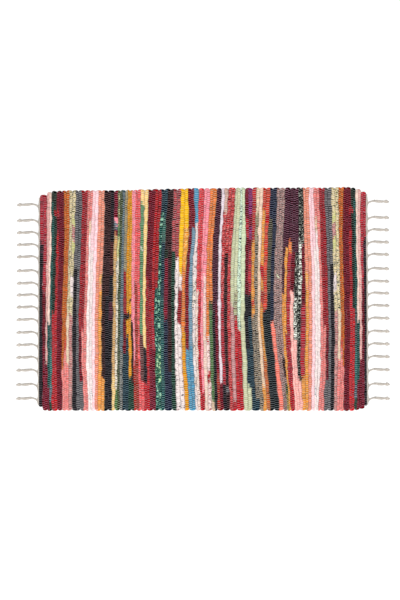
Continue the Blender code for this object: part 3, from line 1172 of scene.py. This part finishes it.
def gather_rings(side):
    """Warps that leave the heading and draw together into the nearest strand.

    Each closes in on the root as the GATHER_CLOSING power of the way still to
    go, and waves of its own set it a little aside from its neighbours.
    """
    roots = strand_roots(side)
    near, far = heading_span(side)
    warps = np.arange(WARPS)
    warp = near + (far - near) * (2 * warps + 1) / (2 * WARPS)
    nearest = np.abs(warp[:, None] - roots[None, :]).argmin(axis=1)
    root = roots[nearest]
    share = np.linspace(0.0, 1.0, GATHER_RINGS)
    out = GATHER_FROM + GATHER_LENGTH * share
    rise = read_table(STRAND_LINE, 1, out)
    offset = (warp - root)[:, None] * (1.0 - share)[None, :] ** GATHER_CLOSING
    (aside, aside_step), (lift, lift_step) = GATHER_WAVES
    squeeze = aside * np.sin(warps * aside_step)[:, None] * share[None, :]
    y = root[:, None] + rise[None, :] * share[None, :] + offset + squeeze
    x = heading_face(side, warp)[:, None] + side * (HEADING_WIDTH + out)[None, :]
    sinking = 1.0 - WAVE_SINKING * share[None, :]
    z = HEADING_MIDDLE + lift * np.cos(warps * lift_step)[:, None] * sinking
    line = np.stack((x, y, z), axis=-1)
    return round_tubes(line, np.full(line.shape[:2], GATHER_RADIUS), GATHER_POINTS)


def tie_fringe(side, props):
    """One end's heading, gathers, strands and knots."""
    end = "left" if side < 0 else "right"
    cotton = cotton_finish(props)
    # A paler copy of the same cotton for the heading and end knots: painted light.
    lit_cotton = cotton_finish(props, "lit_copy_cotton_finish", light=LIT_COPY_GAIN)
    pieces = {
        "heading": (heading_rings(side), lit_cotton),
        "gathers": (gather_rings(side), cotton),
        "strands": (ply_rings(side), cotton),
        "small_knots": (knot_rings(side, KNOTS[0]), cotton),
        "end_knots": (knot_rings(side, KNOTS[1]), lit_cotton),
    }
    for what, (rings, finish) in pieces.items():
        piece = weave_mesh(f"{what}_{end}", rings, finish)
        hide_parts(f"fringe_{end}")


def aim(obj, target):
    """Turn a light so that it looks at a point."""
    way = np.array(target) - np.array(obj.location)
    flat = math.hypot(way[0], way[1])
    obj.rotation_euler = (math.atan2(flat, -way[2]), 0.0, math.atan2(way[1], way[0]) - math.pi / 2)


class RugSettings(bpy.types.PropertyGroup):
    """Sizes and colours of the rags and the cotton."""

    fading: bpy.props.FloatProperty(
        name="Fading",
        description="How much a rag's dye differs from its cloth's",
        default=0.04, min=0.0, max=0.3, subtype="FACTOR",
    )
    sprig_step: bpy.props.FloatProperty(
        name="Sprig step",
        description="Space between the flecks of a printed cloth",
        default=0.0060, min=0.001, max=0.05, unit="LENGTH",
    )
    cotton_colour: bpy.props.FloatVectorProperty(
        name="Cotton",
        description="Colour of the warps, headings and fringe",
        default=(0.76, 0.73, 0.695), size=3, min=0.0, max=1.0, subtype="COLOR_GAMMA",
    )


class StageSettings(bpy.types.PropertyGroup):
    """Floor, light and camera."""

    floor_colour: bpy.props.FloatVectorProperty(
        name="Floor",
        description="Colour of the plain floor",
        default=(0.97, 0.97, 0.97), size=3, min=0.0, max=1.0, subtype="COLOR_GAMMA",
    )
    camera_height: bpy.props.FloatProperty(
        name="Camera height",
        description="How high the camera hangs over the floor",
        default=4.54, min=0.5, max=20.0, unit="LENGTH",
    )
    lens: bpy.props.FloatProperty(
        name="Lens",
        description="Focal length of the camera, in millimetres",
        default=99.9, min=10.0, max=400.0,
    )


class RUG_OT_weave_cloth(bpy.types.Operator):
    """Weave the rags over the warps."""

    bl_idname = "rug.weave_cloth"
    bl_label = "Weave cloth"

    def execute(self, context):
        weave_wefts(context.scene.rug)
        return {"FINISHED"}


class RUG_OT_tie_fringe(bpy.types.Operator):
    """Weave both headings and tie their strands."""

    bl_idname = "rug.tie_fringe"
    bl_label = "Tie fringe"

    def execute(self, context):
        tie_fringe(-1, context.scene.rug)
        tie_fringe(1, context.scene.rug)
        return {"FINISHED"}


class RUG_OT_set_stage(bpy.types.Operator):
    """Lay the floor, hang the lights and set the camera straight above the rug."""

    bl_idname = "rug.set_stage"
    bl_label = "Set stage"

    def execute(self, context):
        props = context.scene.rug_stage
        scene = context.scene
        mesh = bpy.data.meshes.new("studio_floor")
        square = ((-1, -1), (1, -1), (1, 1), (-1, 1))
        corners = [(x * FLOOR_REACH, y * FLOOR_REACH, 0) for x, y in square]
        mesh.from_pydata(corners, [], [(0, 1, 2, 3)])
        mesh.materials.append(floor_finish(props))
        floor = bpy.data.objects.new("studio_floor", mesh)
        scene.collection.objects.link(floor)

        world = bpy.data.worlds.new("studio_air")
        world.use_nodes = True
        air = world.node_tree.nodes["Background"]
        air.inputs["Color"].default_value = (1.0, 1.0, 1.0, 1.0)
        air.inputs["Strength"].default_value = AIR_STRENGTH
        scene.world = world
        for name, place, size, power in LIGHTS:
            light = bpy.data.lights.new(name, "AREA")
            light.size = size
            light.energy = power
            lamp = bpy.data.objects.new(name, light)
            lamp.location = place
            scene.collection.objects.link(lamp)
            aim(lamp, (0.0, 0.0, 0.0))

        camera = bpy.data.cameras.new("camera")
        camera.lens = props.lens
        camera.sensor_width = SENSOR_WIDTH
        seat = bpy.data.objects.new("camera", camera)
        seat.location = CAMERA_PLACE + (props.camera_height,)
        scene.collection.objects.link(seat)
        scene.camera = seat
        scene.view_settings.view_transform = "Standard"
        return {"FINISHED"}


class RUG_PT_panel(bpy.types.Panel):
    """The rug's sidebar panel."""

    bl_label = "Rag rug"
    bl_idname = "RUG_PT_panel"
    bl_space_type = "VIEW_3D"
    bl_region_type = "UI"
    bl_category = "Rag rug"

    def draw(self, context):
        layout = self.layout
        for group in (context.scene.rug, context.scene.rug_stage):
            for name in group.__annotations__:
                layout.prop(group, name)
        for operator in OPERATORS:
            layout.operator(operator.bl_idname)


OPERATORS = (RUG_OT_tie_fringe, RUG_OT_weave_cloth, RUG_OT_set_stage)
CLASSES = (RugSettings, StageSettings) + OPERATORS + (RUG_PT_panel,)


def register():
    """Register the classes and hang the settings on the scene."""
    for cls in CLASSES:
        bpy.utils.register_class(cls)
    bpy.types.Scene.rug = bpy.props.PointerProperty(type=RugSettings)
    bpy.types.Scene.rug_stage = bpy.props.PointerProperty(type=StageSettings)


def unregister():
    """Take the settings off the scene and unregister the classes."""
    del bpy.types.Scene.rug_stage
    del bpy.types.Scene.rug
    for cls in reversed(CLASSES):
        bpy.utils.unregister_class(cls)


def main():
    """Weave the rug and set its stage."""
    register()
    bpy.ops.rug.tie_fringe()
    bpy.ops.rug.weave_cloth()
    bpy.ops.rug.set_stage()


if __name__ == "__main__":
    main()
